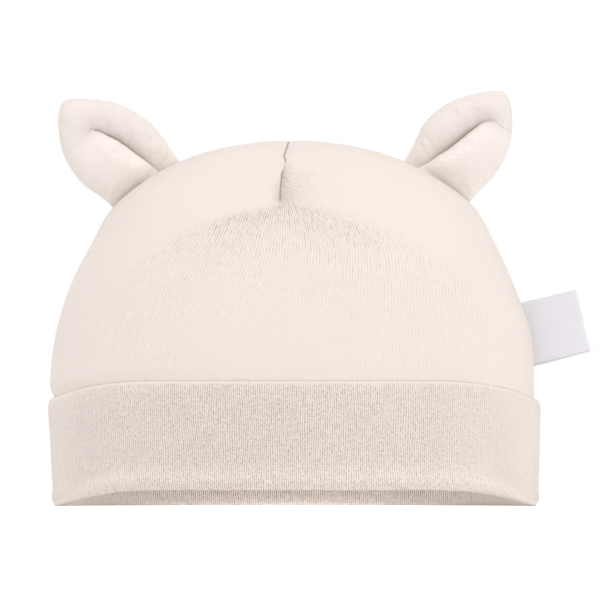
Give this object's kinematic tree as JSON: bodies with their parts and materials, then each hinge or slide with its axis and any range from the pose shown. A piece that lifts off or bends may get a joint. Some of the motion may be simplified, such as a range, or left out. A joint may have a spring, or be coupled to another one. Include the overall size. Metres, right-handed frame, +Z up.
{
  "type": "baby hat with ears",
  "caption": "Soft jersey baby hat with a domed crown, a turned-up cuff, a pair of padded ears and a small blank side label, standing on its rim.",
  "frame": {"origin": "on the floor that the rim rests on, in the middle of the box round the whole hat with its label, so the middle of the rim is 8 mm towards -X", "axes": "+Z up through the crown, -Y the front that the wearer faces, +X the wearer's left, where the label is"},
  "size_m": [0.1726, 0.0798, 0.132],
  "materials": {
    "crown": "matte fine cotton jersey, warm cream",
    "cuff": "matte cotton jersey with its wales showing, warm cream",
    "ear": "matte fine cotton jersey, warm cream, lightly padded",
    "label": "smooth satin tape, cool white, blank"
  },
  "bodies": {
    "root": {"crown": "crown", "cuff": "cuff", "ear_left": "ear", "ear_right": "ear", "label": "label"}
  },
  "joints": []
}
